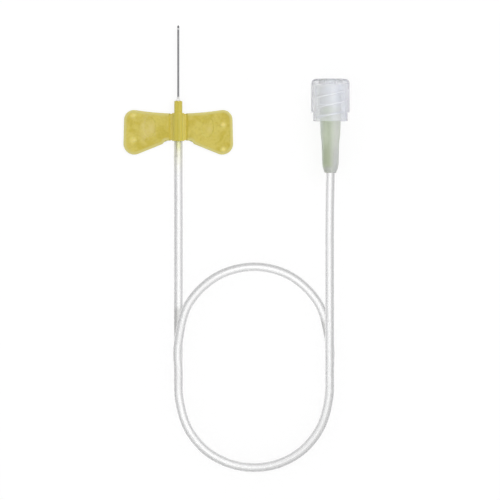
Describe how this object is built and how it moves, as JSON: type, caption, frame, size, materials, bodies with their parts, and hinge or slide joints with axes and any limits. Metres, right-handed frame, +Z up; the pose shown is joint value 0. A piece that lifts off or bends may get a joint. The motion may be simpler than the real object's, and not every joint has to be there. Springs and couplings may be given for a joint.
{
  "type": "butterfly needle",
  "caption": "Winged infusion needle: thin steel cannula in a yellow hub with folding wings, a looped clear tube and a capped female tapered connector.",
  "frame": {"origin": "on the flat skin side of the hub, halfway along the barrel between the wings", "axes": "+Y along the needle to its point, +X to the connector's side, +Z up from the surface it lies on"},
  "size_m": [0.0565, 0.1116, 0.0096],
  "materials": {
    "steel": "polished",
    "adhesive": "clear cured resin",
    "hub": "translucent moulded yellow",
    "wings": "translucent moulded yellow",
    "tube": "clear soft tube",
    "connector": "translucent pale green",
    "cap": "clear hard plastic"
  },
  "bodies": {
    "root": {"needle_cannula": "steel", "needle_adhesive": "adhesive", "hub_barrel": "hub", "tube": "tube", "luer_connector": "connector"},
    "left_wing": {"left_wing": "wings"},
    "right_wing": {"right_wing": "wings"},
    "luer_cap": {"luer_cap": "cap"}
  },
  "joints": [
    {"name": "left_wing_fold", "type": "hinge", "parent": "root", "child": "left_wing", "pos_m": [-0.00175, 0, 0.00018], "axis": [0, 1, 0], "range_deg": [0, 80], "stiffness_Nm_per_rad": 0.0004},
    {"name": "right_wing_fold", "type": "hinge", "parent": "root", "child": "right_wing", "pos_m": [0.00175, 0, 0.00018], "axis": [0, -1, 0], "range_deg": [0, 80], "stiffness_Nm_per_rad": 0.0004},
    {"name": "cap_pull", "type": "slide", "parent": "root", "child": "luer_cap", "axis": [0, 1, 0], "range_m": [0, 0.012]}
  ]
}
